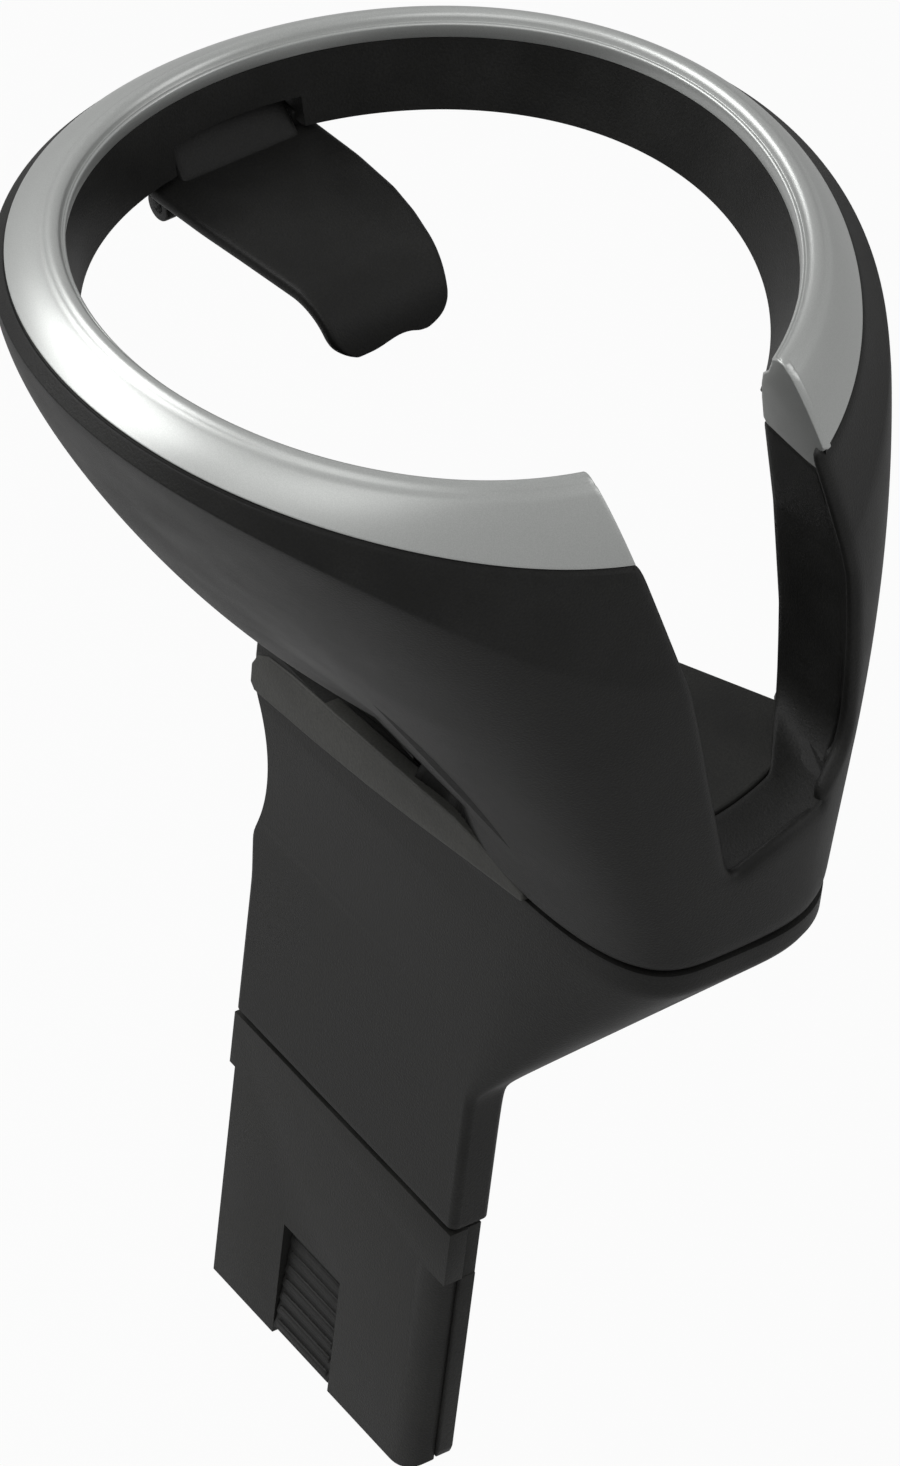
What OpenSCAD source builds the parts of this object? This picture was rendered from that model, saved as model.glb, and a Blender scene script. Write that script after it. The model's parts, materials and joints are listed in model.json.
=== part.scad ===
// Plug-in cup holder for a car console. A C-shaped trim ring crowns a scoop that leans out over a
// flat stem, and the blade under the stem slides into a socket beside the seat.
// Frame: +Z up along the blade, +X towards the handle slot, +Y through the blade's thickness.
// Origin: middle of the blade, in the shoulder plane where the stem meets the socket's mouth.

/* [Ring] */
// Inner radius of the trim ring at its crest
ring_r = 40; // [38:0.5:44]
// Radial width of the trim ring
trim_w = 6.3; // [5:0.1:8]
// Thickness of the trim ring's skin
trim_skin = 1.5; // [1.2:0.1:2]
// Depth of the trim's inner lip
lip_h = 2.9; // [2:0.1:4]
// How far the trim's outer edge lies under the crest at the back
trim_drop = 3.6; // [3:0.1:5]
// How much further it drops beside the handle slot
trim_dip = 7.5; // [3:0.5:9]
// Place of the ring's centre along X
ring_x = -1.05; // [-6:0.1:6]
// Place of the ring's centre along Y
ring_y = -3.25; // [-6:0.25:4]
// Height by which the rim leans from side to side
rim_lean = 1.9; // [0:0.1:3]
// Height by which the rim saddles between front and sides
rim_saddle = 1.5; // [0:0.1:2.5]
// Height of the inner wall band under the crest
band_h = 11.6; // [10:0.1:14]
// Thickness of the inner wall band
band_t = 1.8; // [1.4:0.1:2.4]
// How far the inner wall band tapers in towards its lower edge
band_taper = 2.2; // [0:0.1:4]

/* [Cup space] */
// Tilt of the cup space against the blade, degrees
cup_tilt = 19.5; // [15:0.5:22]
// Height of the cup floor's middle over the scoop's seam
floor_rise = 8.8; // [7:0.1:12]
// Radius of the cup space in the ring's plane
cup_r_top = 39; // [36:0.5:40]
// Radius of the cup space at the floor
cup_r_floor = 28.7; // [26:0.1:30]
// Thickness of the inner liner
liner_t = 2; // [1.6:0.1:2.6]
// Thickness of the floor pad
pad_t = 1.6; // [1:0.1:2.5]

/* [Scoop] */
// Height of the scoop's lower seam over the shoulder
seam_h = 55.6; // [50:0.5:58]
// Height of the ring's crest over that seam
scoop_h = 74.4; // [66:0.2:84]
// Reach of the scoop's foot towards the slot, from the ring's centre
foot_front = 47.5; // [44:0.5:52]
// Distance of the scoop's straight back edge from the ring's centre
foot_back = 24.3; // [22:0.1:26]
// Reach of the scoop's foot across the stem, on the side away from it
foot_side = 37; // [32:0.5:40]
// How far the scoop's belly swells beside the pillar
belly = 2.6; // [1:0.1:5]
// Distance of the open back from the ring's centre
back_cut = 29.2; // [26:0.2:34]
// Wall of the scoop and of the cradle
shell_t = 2.4; // [2:0.1:3]
// Width of the pillar between the slot and the open back, degrees of the ring
pillar_deg = 24; // [20:1:30]

/* [Handle slot] */
// Width of the handle slot at the rim
slot_w_top = 31; // [26:0.5:34]
// Width of the handle slot at its floor
slot_w_floor = 21.5; // [18:0.5:24]
// Corner radius at the slot's floor
slot_corner = 3; // [2:0.5:5]

/* [Stem and blade] */
// Width of the stem
stem_w = 44.6; // [40:0.2:50]
// Thickness of the stem
stem_t = 5.5; // [5:0.1:7]
// Height on the stem where the cradle starts to spread
stem_neck = 21; // [16:0.5:26]
// Radius of the hollow in the stem's back edge
stem_hollow = 20; // [14:0.5:26]
// Depth of that hollow
hollow_depth = 3.2; // [1:0.1:4]
// Width of the blade
blade_w = 44.2; // [40:0.2:50]
// Length of the blade under the shoulder
blade_l = 42.5; // [36:0.5:50]
// Thickness of the blade's front plate
plate_t = 2.6; // [2.2:0.1:3.2]
// Thickness of the blade's rear plate
rear_t = 2; // [1.6:0.1:2.6]
// Height of the full-width collar at the blade's top
collar_h = 9; // [5:0.5:12]
// Width of the rounding along the blade's near edge
nose_w = 4.8; // [4:0.2:9]
// Width of the latch recess
latch_w = 11.6; // [8:0.2:14]
// Height of the latch recess, which is open at the blade's lower end
latch_h = 18; // [12:0.5:20]
// Number of ribs on the latch wedge
rib_count = 7; // [4:1:9]

/* [Spring arm] */
// Reach of the arm from its hinge
arm_l = 31; // [27:0.5:33]
// Width of the arm at its root
arm_w = 23.5; // [20:0.5:25]
// Width of the arm near its tip
arm_tip_w = 15; // [12:0.2:18]
// Thickness of the arm's flap
arm_t = 1.8; // [1.4:0.1:2.4]
// Width of the arm's stop tab
tab_w = 16; // [12:0.2:17]
// Height of the stop tab over the flap
tab_h = 3.5; // [2.5:0.1:5]
// Diameter of the hinge pin
pin_d = 2; // [1.6:0.1:2.4]
// Lean of the hinge axis across the ring, degrees
arm_roll = 4; // [0:0.5:6]

/* [Hidden] */

fit = 0.1;
running = 0.06;
ring_steps = 96;
loft_rows = 10;
slot_az = 9;
slot_skew = 18;
lean_az = 62;
low_az = 7;
belly_az = 55;
cup_az = 60;
deep = 200;
foot_mid = [12, 14];
foot_face = 13.7;
foot_pow = 5;
rim_h = seam_h + scoop_h;
cup_depth = (scoop_h - floor_rise) / cos(cup_tilt) - pad_t;
cone_slope = (cup_r_top - cup_r_floor) / cup_depth;
stem_face = -stem_t / 2;
pillar_az = slot_az + 25;
shell_gap = 0.15;
back_turn = 12.5;
wall_turn = 43.5;
flat_lean = atan((ring_r + 11) / (scoop_h - shell_t));
arm_axis_r = ring_r - 1.4;
arm_drop = 2.2;
barrel_r = pin_d / 2 + 0.95;

// Smooth rise of 1 at angle c that fades over w degrees on both sides
function gap_deg(a, c) = abs((a - c + 540) % 360 - 180);
function swell(a, c, w) = exp(-pow(gap_deg(a, c) / w, 2));
function mix(p, q, s) = p * (1 - s) + q * s;

// The rim's height and the trim's outer edge, by the angle round the ring
function rim_z(a) = rim_h + rim_lean * cos(a - lean_az) - rim_saddle * cos(2 * (a - low_az));
function drop(a) = trim_drop + trim_dip * swell(a, slot_skew, 50);
function trim_out(a) = ring_r + trim_w + swell(a, 40, 50);
function on_ring(r, a, z) = [ring_x + r * cos(a), ring_y + r * sin(a), z];

// A closed solid from rings of points: each ring has the same count, ends are capped
function ring_faces(n, m) = [for (j = [0 : m - 2]) for (i = [0 : n - 1])
    [j * n + i, (j + 1) * n + i, (j + 1) * n + (i + 1) % n, j * n + (i + 1) % n]];
module stacked(rows) {
    n = len(rows[0]);
    m = len(rows);
    polyhedron(
        points = [for (row = rows) for (p = row) p],
        faces = concat(ring_faces(n, m), [[for (i = [0 : n - 1]) i]],
            [[for (i = [n - 1 : -1 : 0]) (m - 1) * n + i]]),
        convexity = 8);
}

// A closed hoop: the section is swept once round the ring
module swept(sections) {
    n = len(sections[0]);
    m = len(sections);
    polyhedron(
        points = [for (s = sections) for (p = s) p],
        faces = [for (j = [0 : m - 1]) for (i = [0 : n - 1])
            [((j + 1) % m) * n + i, ((j + 1) % m) * n + (i + 1) % n, j * n + (i + 1) % n, j * n + i]],
        convexity = 8);
}
ring_angles = [for (j = [0 : ring_steps - 1]) j * 360 / ring_steps];

// The prism that opens the handle slot, drawn from the slot's side and cut along X
function floor_z(x, y) = let (n = cup_dir())
    (floor_at() + n * 0)[2] - ((x - floor_at()[0]) * n[0] + (y - floor_at()[1]) * n[1]) / n[2];
function cup_dir() = [sin(cup_tilt) * cos(cup_az), sin(cup_tilt) * sin(cup_az), -cos(cup_tilt)];
function floor_at() = [ring_x, ring_y, rim_h] + cup_dir() * (cup_depth + pad_t);
slot_lean = tan(cup_tilt) * sin(cup_az);
slot_y_top = ring_y + 6;
slot_y_floor = slot_y_top + 0.847 * scoop_h * slot_lean - 2.4;
function under_rim(share) = rim_h - share * scoop_h;
function slot_low(y) = floor_z(ring_x + foot_front - 3, y);
module slot_prism() {
    yl = slot_y_floor - slot_w_floor / 2;
    yr = slot_y_floor + slot_w_floor / 2;
    rc = slot_corner;
    left = slot_y_top - slot_w_top / 2;
    right = slot_y_top + slot_w_top / 2;
    outline = concat(
        [[left - 2.2, rim_h + 8], [left + 3.8, under_rim(0.134)], [left + 11.8, under_rim(0.403)],
         [mix(left + 11.8, yl, 0.45), under_rim(0.605)]],
        [for (t = [0 : 15 : 90]) [yl + rc * (1 - cos(t)), slot_low(yl) + rc * (1 - sin(t))]],
        [for (t = [90 : -15 : 0]) [yr - rc * (1 - cos(t)), slot_low(yr) + rc * (1 - sin(t))]],
        [[right + 9, under_rim(0.403)], [right + 4.2, under_rim(0.202)], [right - 4.6, rim_h + 8]]);
    translate([ring_x + 18, 0, 0]) rotate([90, 0, 90])
        linear_extrude(height = deep) polygon(outline);
}

// The scoop ends at the back in upright planes; its walls stop further forward than its floor
module back_planes(clear) {
    translate([ring_x + 15, ring_y + back_cut + clear, seam_h + 0.01]) rotate([0, 0, back_turn])
        translate([-deep, 0, 0]) cube([2 * deep, deep, deep]);
    translate([ring_x - foot_back - deep - clear, -deep, seam_h + 0.01]) cube([deep, 2 * deep, deep]);
}
module wall_plane(clear) {
    intersection() {
        translate([ring_x - foot_back, ring_y - 9 + clear, seam_h]) rotate([0, 0, wall_turn])
            translate([-deep, 0, 0]) cube([2 * deep, deep, deep]);
        at_cup() translate([-deep, -deep, -deep]) cube([2 * deep, 2 * deep, deep + cup_depth - 2.5]);
    }
}
module open_back(clear) {
    difference() {
        union() {
            back_planes(clear);
            wall_plane(clear);
        }
        intersection() {
            pillar_sector(clear);
            pillar_plane(clear);
        }
    }
}
module at_cup() {
    translate([ring_x, ring_y, rim_h]) rotate([0, 0, cup_az]) rotate([0, 180 - cup_tilt, 0]) children();
}
// Sector round the slot in which the scoop is solid between its skin and the cup space
module slot_side() {
    far = 140;
    translate([ring_x, ring_y, 0]) linear_extrude(height = rim_h + 20)
        polygon([[0, 0], [far * cos(-22), far * sin(-22)], [far * 1.2 * cos(18), far * 1.2 * sin(18)],
            [far * cos(62), far * sin(62)]]);
}
module pillar_sector(clear) {
    a0 = slot_az - 10;
    a1 = pillar_az + pillar_deg - clear / 2;
    far = 140;
    mid = (a0 + a1) / 2;
    translate([ring_x, ring_y, 0]) linear_extrude(height = rim_h + 20)
        polygon([[0, 0], [far * cos(a0), far * sin(a0)], [far * cos(mid) * 1.1, far * sin(mid) * 1.1],
            [far * cos(a1), far * sin(a1)]]);
}

// The cup space as a tilted cone: grow widens it, and down lowers its floor
module cup_cone(grow, down) {
    over = 14;
    difference() {
        at_cup() translate([0, 0, -over])
            cylinder(h = over + cup_depth + pad_t + down, r1 = cup_r_top + grow + over * cone_slope,
                r2 = cup_r_floor + grow - (pad_t + down) * cone_slope, $fn = 128);
        stem_side_plane(grow);
        pillar_plane(grow);
    }
}
// Beside the slot the cup space stops at a flat face, which gives the pillar its depth
module pillar_plane(grow) {
    translate([ring_x, ring_y, rim_h - band_h]) rotate([0, 0, 50]) rotate([0, -9.4, 0])
        translate([ring_r - 3.1 + grow * 1.01, -deep, -deep]) cube(2 * deep);
}
// The cup space is flattened where the scoop's wall runs down to the stem
module stem_side_plane(grow) {
    translate([0, ring_y + 4.3 - grow * 1.23, seam_h + shell_t]) rotate([flat_lean, 0, 0])
        translate([-deep, -deep, -deep]) cube([2 * deep, deep, 2 * deep]);
}

// Rings of the scoop's outer form
function foot_r(a) = pow(
    pow(max(0, -sin(a)) / foot_face, foot_pow) + pow(max(0, sin(a)) / (foot_side - foot_mid[1]), foot_pow)
    + pow(max(0, cos(a)) / (foot_front - foot_mid[0]), foot_pow)
    + pow(max(0, -cos(a)) / (foot_back + 12 + foot_mid[0]), foot_pow), -1 / foot_pow);
function foot_pt(a) = [ring_x + foot_mid[0] + foot_r(a) * cos(a), ring_y + foot_mid[1] + foot_r(a) * sin(a)];
function crease_drop(a) = drop(a) + 1.6 + 16 * swell(a, slot_az, 45);
function crease_r(a) = trim_out(a) + 1.2 + belly * swell(a, belly_az, 45);
function fall(a) = 1 + 0.5 * swell(a, -125, 28) + 0.4 * swell(a, 20, 50);
function body_pt(a, u) = let (
    top = on_ring(crease_r(a), a, rim_z(a) - crease_drop(a)),
    low = foot_pt(a - 8.5 * swell(a, 50, 30)),
    s = pow(u, fall(a)),
    out = belly * 0.9 * swell(a, 48, 34) * sin(180 * pow(u, 0.8)))
    [mix(top[0], low[0], s) + out * cos(a), mix(top[1], low[1], s) + out * sin(a), mix(top[2], seam_h, u)];
module scoop_form() {
    under = trim_skin + fit;
    stacked(concat(
        [for (j = [loft_rows : -1 : 0]) [for (a = ring_angles) body_pt(a, j / loft_rows)]],
        [[for (a = ring_angles) on_ring(trim_out(a), a, rim_z(a) - drop(a) - fit)]],
        [[for (a = ring_angles) on_ring(trim_out(a) - under, a, rim_z(a) - drop(a) - fit)]],
        [[for (a = ring_angles) on_ring(ring_r + 1.6, a, rim_z(a) - lip_h - fit)]]));
}
module scoop_hollow() {
    rows = 6;
    slant = shell_t * 1.35;
    stacked([for (j = [rows : -1 : 0]) [for (a = ring_angles) let (
        span = rim_z(a) - crease_drop(a) - seam_h,
        u0 = max(4, band_h + 4 - crease_drop(a)) / span,
        u = mix(u0, 1 - shell_t / span, j / rows),
        s = pow(u, fall(a)),
        p = body_pt(a, u),
        c = [ring_x + foot_mid[0] * s, ring_y + foot_mid[1] * s],
        q = [p[0] - c[0], p[1] - c[1]],
        k = 1 - slant / norm(q))
        [c[0] + q[0] * k, c[1] + q[1] * k, p[2]]]]);
}

// Satin trim over the rim, open at the handle slot
function trim_section(a) = let (o = trim_out(a), d = drop(a), r = ring_r, z = rim_z(a)) [
    on_ring(r - 0.3, a, z - lip_h),
    on_ring(r - 0.15, a, z - 1.1),
    on_ring(r + 0.25, a, z - 0.25),
    on_ring(r + 1, a, z),
    on_ring(r + 1.8, a, z - 0.3),
    on_ring(r + 2.3, a, z - 0.75),
    on_ring(mix(r + 2.3, o, 0.35), a, z - mix(0.75, d, 0.24)),
    on_ring(mix(r + 2.3, o, 0.7), a, z - mix(0.75, d, 0.6)),
    on_ring(o, a, z - d),
    on_ring(o - trim_skin, a, z - d),
    on_ring(r + 1.6, a, z - lip_h)];
module trim_ring() {
    color("silver") difference() {
        swept([for (a = ring_angles) trim_section(a)]);
        slot_prism();
    }
}

// Black outer shell of the scoop, with the band that carries the trim
module scoop_body() {
    color("#33332f") difference() {
        scoop_form();
        difference() {
            scoop_hollow();
            slot_side();
        }
        cup_cone(liner_t, liner_t);
        swept_band_room();
        slot_prism();
        open_under_band(0);
        floor_screw_set(fit);
        band_peg_set(fit);
    }
}
module swept_band_room() {
    r = ring_r - 0.3 + band_t + shell_gap;
    translate([ring_x, ring_y, rim_h - band_h - 6]) cylinder(h = band_h + 20, r = r, $fn = 128);
}
// The open back stops at the band's lower edge, which follows the rim
module open_under_band(clear) {
    difference() {
        open_back(clear);
        stacked([
            [for (a = ring_angles) on_ring(ring_r + 18, a, rim_z(a) - band_h - clear)],
            [for (a = ring_angles) on_ring(ring_r + 18, a, rim_h + 30)]]);
    }
}

// Inner wall band with its notch for the stop tab and two ears for the hinge pin
function band_section(a) = let (z = rim_z(a), r = ring_r - 0.3, e = band_taper) [
    on_ring(r - e, a, z - band_h),
    on_ring(r, a, z - lip_h - fit),
    on_ring(r + band_t, a, z - lip_h - fit),
    on_ring(r + band_t, a, z - band_h)];
arm_at = [ring_x - arm_axis_r, ring_y + 0.8, rim_z(180) - band_h - 0.4 - arm_t - arm_drop];
ear_w = 1.8;
ear_y = arm_w / 2 - 1.9 - ear_w / 2;
module at_hinge() {
    translate(arm_at) rotate([arm_roll, 0, 0]) children();
}
module inner_band() {
    color("#2e2e2b") difference() {
        union() {
            swept([for (a = ring_angles) band_section(a)]);
            for (s = [-1, 1]) at_hinge() translate([0, tab_y + s * ear_y - ear_w / 2, 0]) {
                translate([-barrel_r - 0.8, 0, 0]) cube([barrel_r + 1.1, ear_w, arm_drop + arm_t + 1.6]);
                rotate([-90, 0, 0]) cylinder(h = ear_w, r = barrel_r, $fn = 48);
            }
        }
        slot_prism();
        at_hinge() tab_notch();
        at_hinge() rotate([90, 0, 0]) translate([0, 0, -arm_w]) cylinder(h = 2 * arm_w, d = pin_d, $fn = 32);
        band_peg_set(fit);
    }
}
module tab_notch() {
    side = 0.5;
    translate([-2 * band_t, tab_y - tab_w / 2 - side, arm_drop + 0.4])
        cube([8, tab_w + 2 * side, arm_t + tab_h + side]);
}

// Liner of the cup space, with its floor
module pillar_zone() {
    translate([ring_x + 17, ring_y + 25, floor_at()[2] + 11.4]) cube(deep);
}
module cup_liner() {
    color("#383834") difference() {
        liner_form();
        pillar_zone();
    }
}
// Lining of the pillar's inner face, above the floor
module pillar_lining() {
    color("#383834") intersection() {
        liner_form();
        pillar_zone();
    }
}
module liner_form() {
    difference() {
        intersection() {
            cup_cone(liner_t - fit, liner_t - fit);
            translate([ring_x, ring_y, seam_h]) cylinder(h = rim_h - seam_h - band_h - 3.4, r = 70, $fn = 96);
            at_cup() translate([-deep, -deep, band_h + 4.4]) cube(2 * deep);
        }
        cup_cone(0, 0);
        slot_prism();
        open_back(0);
        intersection() {
            back_planes(0);
            at_cup() translate([-deep, -deep, cup_depth - 2.5]) cube(2 * deep);
        }
        arm_swing_room();
        floor_screw_set(fit);
    }
}

// The liner's back corner stays clear of the swung arm's tip
module arm_swing_room() {
    translate([ring_x - foot_back + 8 - deep, -deep, seam_h + 0.44 * scoop_h]) cube([deep, 2 * deep, deep]);
}

// Rubber pad on the floor
module floor_pad() {
    color("#4a4a47") difference() {
        at_cup() translate([0, 0, cup_depth])
            cylinder(h = pad_t - 0.02, r = cup_r_floor - pad_t * cone_slope - 0.15, $fn = 128);
        stem_side_plane(-0.3);
        pillar_plane(-0.3);
        back_planes(-0.4);
    }
}

// Spring arm: a flap with a hooked tip, a stop tab and a hinge barrel
tip_r = 6.2;
tab_y = 0.5;
bend = arm_l - tip_r - arm_t;
module arm_outline() {
    root = arm_w / 2;
    lo = 1.3 - arm_tip_w / 2;
    hi = 1.3 + arm_tip_w / 2;
    polygon([
        [0, 0.5 - root], [0.49 * arm_l, mix(0.5 - root, lo, 0.53)], [bend, lo - 0.9],
        [arm_l - 3.3, lo - 0.35], [arm_l - 1.3, lo], [arm_l - 0.6, lo + 1], [arm_l - 0.3, lo + 2.2], [arm_l + 1, lo + 3.8],
        [arm_l + 1, hi - 2.8], [arm_l - 0.35, hi - 1.4], [arm_l - 0.6, hi - 0.7], [arm_l - 1.1, hi], [arm_l - 2, hi + 0.6],
        [arm_l - 4, hi + 1.2], [arm_l - 8, root - 0.7], [0.62 * arm_l, root + 0.35], [0.48 * arm_l, root + 0.85],
        [0.27 * arm_l, root + 0.5], [0, root - 0.4]]);
}
module arm_side() {
    z0 = arm_drop;
    polygon(concat(
        [[0.6, z0], [bend, z0 - 0.6]],
        [for (t = [15 : 15 : 75]) [bend + tip_r * sin(t), z0 - 0.6 - tip_r * (1 - cos(t))]],
        [for (t = [75 : -15 : 0])
            [bend + (tip_r + arm_t) * sin(t), z0 - 0.6 + arm_t - (tip_r + arm_t) * (1 - cos(t))]],
        [[0.6, z0 + arm_t]]));
}
module spring_arm() {
    color("#3a3a37") at_hinge() difference() {
        union() {
            intersection() {
                translate([0, 0, -20]) linear_extrude(height = 40) arm_outline();
                rotate([90, 0, 0]) translate([0, 0, -arm_w]) linear_extrude(height = 2 * arm_w) arm_side();
            }
            translate([0, tab_y - tab_w / 2, arm_drop]) rotate([90, 0, 0]) mirror([0, 0, 1])
                linear_extrude(height = tab_w) polygon([[0.7, 0.2], [2.2, arm_t - 0.4], [1.8, arm_t],
                    [-0.9, arm_t + tab_h], [-2.2, arm_t + tab_h - 0.3], [0, 0.8]]);
            barrel();
        }
        rotate([90, 0, 0]) translate([0, 0, -arm_w]) cylinder(h = 2 * arm_w, d = pin_d + 2 * running, $fn = 32);
    }
}
module barrel() {
    half = ear_y - ear_w / 2 - 0.3;
    spring_half = 2.6;
    for (y = [-half, spring_half]) translate([0, tab_y + y, 0]) {
        rotate([-90, 0, 0]) cylinder(h = half - spring_half, r = barrel_r, $fn = 48);
        cube([barrel_r + 0.6, half - spring_half, arm_drop + 0.4]);
    }
}
module hinge_pin() {
    color("lightgray") at_hinge() translate([0, tab_y + ear_y + ear_w / 2, 0]) rotate([90, 0, 0])
        cylinder(h = 2 * ear_y + ear_w, d = pin_d, $fn = 32);
}
// Torsion spring: a round wire wound about the pin, with one leg under the flap
module arm_spring() {
    wire = 0.7;
    turns = 4;
    coil_r = pin_d / 2 + 0.25 + wire / 2;
    pitch = 0.95;
    leg = 6.5;
    color("gray") at_hinge() translate([0, tab_y, 0]) {
        translate([0, turns * pitch / 2, coil_r]) rotate([0, 90, 0]) cylinder(h = leg, d = wire, $fn = 16);
        translate([-coil_r, -turns * pitch / 2, 0]) cylinder(h = arm_drop + arm_t, d = wire, $fn = 16);
        spring_coil(wire, turns, coil_r, pitch);
    }
}
module spring_coil(wire, turns, coil_r, pitch) {
    steps = 16;
    rotate([-90, 0, 0]) translate([0, 0, -turns * pitch / 2])
        stacked([for (k = [0 : turns * steps]) let (t = k * 360 / steps)
            [for (q = [300 : -60 : 0]) let (r = coil_r + wire / 2 * cos(q))
                [r * cos(t), r * sin(t), pitch * k / steps + wire / 2 * sin(q)]]]);
}

// Cradle and stem: one moulding that spreads from the flat stem to the scoop's seam
module foot_outline(in) {
    cut = in * 1.2;
    intersection() {
        polygon([for (a = [0 : 5 : 355]) let (p = foot_pt(a), c = [ring_x, ring_y] + foot_mid, q = p - c)
            c + q * (1 - in / norm(q))]);
        translate([ring_x - foot_back + cut, -deep]) square([deep, 2 * deep]);
        translate([ring_x - foot_back, ring_y + 11 - cut]) rotate(26) translate([-deep, -deep]) square([2 * deep, deep]);
    }
}
module cradle_form() {
    flat_h = 3;
    hull() {
        translate([0, 0, seam_h - shell_gap - flat_h]) linear_extrude(height = flat_h) foot_outline(0);
        translate([-stem_w / 2, stem_face, stem_neck]) cube([stem_w, stem_t, 1]);
    }
    translate([-stem_w / 2, stem_face, 0]) cube([stem_w, stem_t, stem_neck + 1]);
}
module cradle_hollow() {
    thin = shell_t + 0.4;
    hull() {
        translate([0, 0, seam_h - 3]) linear_extrude(height = 4) foot_outline(thin);
        translate([-stem_w / 2 + thin + 3, stem_face + thin + 0.4, stem_neck + 10]) cube([stem_w - 2 * thin - 3, 0.8, 1]);
    }
}
module cradle_stem() {
    color("#3c3c39") difference() {
        cradle_form();
        difference() {
            cradle_hollow();
            floor_bosses();
        }
        translate([-stem_w / 2 + hollow_depth - stem_hollow - 1.4, 0, mix(stem_neck, seam_h, 0.4335)])
            rotate([90, 0, 0]) translate([0, 0, -deep]) cylinder(h = 2 * deep, r = stem_hollow, $fn = 96);
        strip_room(0);
        cover_room(0);
        cover_screw_set(fit);
        blade_tongue(fit);
        floor_screw_set(0);
    }
}
// Collar strip between the scoop and the stem's wide face
module strip_room(clear) {
    depth = 1.4 - clear;
    translate([0, stem_face - 6 + 0, 0]) rotate([-90, 0, 0]) mirror([0, 1, 0])
        linear_extrude(height = 6 + depth)
            polygon([[ring_x - foot_back - 4, seam_h - 8.8 + clear], [ring_x - foot_back - 4, seam_h - 1.2 - clear],
                [ring_x + 27.5 - clear, seam_h - 1.2 - clear], [ring_x + 27.5 - clear, seam_h - 1.6 + clear]]);
}
module cradle_strip() {
    color("#55554f") intersection() {
        cradle_form();
        strip_room(fit);
    }
}
cover_w = stem_w - 12;
cover_lo = 4;
cover_hi = stem_neck - 2;
module cover_room(clear) {
    translate([-cover_w / 2 + clear, stem_t / 2 - 1.5 + clear / 2, cover_lo + clear])
        cube([cover_w - 2 * clear, 1.5 + (clear > 0 ? -clear / 2 : 1), cover_hi - cover_lo - 2 * clear]);
}
module stem_cover() {
    color("#31312e") difference() {
        cover_room(fit);
        cover_screw_set(0);
    }
}
module screw(d, l, head_d, head_h) {
    cylinder(h = l, d = d, $fn = 32);
    translate([0, 0, l]) cylinder(h = head_h, d = head_d, $fn = 32);
}
// Screws from the back through the stem cover
module cover_screw_set(grow) {
    for (x = [-cover_w / 2 + 4, cover_w / 2 - 4])
        translate([x, stem_t / 2 - 4.2, (cover_lo + cover_hi) / 2]) rotate([-90, 0, 0])
            screw(2 + grow, 3.4, 4 + grow, 0.8);
}
module cover_screws() {
    color("dimgray") cover_screw_set(0);
}
// Screws that hold liner and scoop down on the cradle, hidden by the floor pad
module floor_screw_set(grow) {
    for (y = [-6, 6]) {
        at = [floor_at()[0] + 2, floor_at()[1] + y];
        top = floor_z(at[0], at[1]) - 0.9;
        translate([at[0], at[1], top - 18]) screw(2.5 + grow, 16.6, 5 + grow, 1.4);
    }
}
module floor_bosses() {
    for (y = [-6, 6]) translate([floor_at()[0] + 2, floor_at()[1] + y, 0]) cylinder(h = seam_h, d = 7, $fn = 48);
}
module floor_screws() {
    color("dimgray") floor_screw_set(0);
}
// Blind pegs between the inner band and the scoop's band
module band_peg_set(grow) {
    inner = ring_r + 0.3;
    for (a = [-105, 105])
        translate([ring_x, ring_y, rim_z(a) - band_h / 2 - 1]) rotate([0, 0, a]) rotate([0, 90, 0])
            translate([0, 0, inner]) cylinder(h = band_t + 2.4, d = 2.5 + grow, $fn = 32);
}
module band_pegs() {
    color("#2e2e2b") band_peg_set(0);
}

// Blade: a front plate with a rounded near edge, and a set-back rear plate
groove = 0.9;
module blade_tongue(grow) {
    translate([-blade_w / 2 + 5 - grow, stem_face + 1.2 - grow, -1])
        cube([blade_w - 10 + 2 * grow, plate_t - 1.25 + 2 * grow, 4 + grow]);
}
module blade_front() {
    face = stem_face;
    half = blade_w / 2;
    back = face + plate_t - 0.03;
    side = half - 0.8;
    color("#3b3b38") difference() {
        union() {
            translate([-half, face, -collar_h]) cube([blade_w, plate_t, collar_h - groove]);
            translate([0, 0, -blade_l]) linear_extrude(height = blade_l - groove)
                polygon(concat(
                    [[-half + 0.6, back], [-half + 0.6, face + 0.5], [-half + 1.1, face]],
                    [for (t = [0 : 10 : 90]) [side - nose_w + nose_w * sin(t), face + plate_t * 0.9 * (1 - cos(t))]],
                    [[side, back]]));
            blade_tongue(0);
        }
        latch_room();
        blade_screw_set(fit);
        dowel_set(fit);
        corner_cut();
    }
}
// Rounds the blade's lower near corner
module corner_cut() {
    r = 6;
    translate([blade_w / 2 - r, -10, -blade_l + r]) difference() {
        translate([0, 0, -r - 1]) cube([r + 1, 20, r + 1]);
        rotate([-90, 0, 0]) cylinder(h = 20, r = r, $fn = 64);
    }
}
latch_x = -2.6;
latch_deep = 1.6;
module latch_room() {
    translate([latch_x - latch_w / 2, stem_face - 1, -blade_l - 1])
        cube([latch_w, latch_deep + 1, latch_h + 1]);
}
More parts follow.
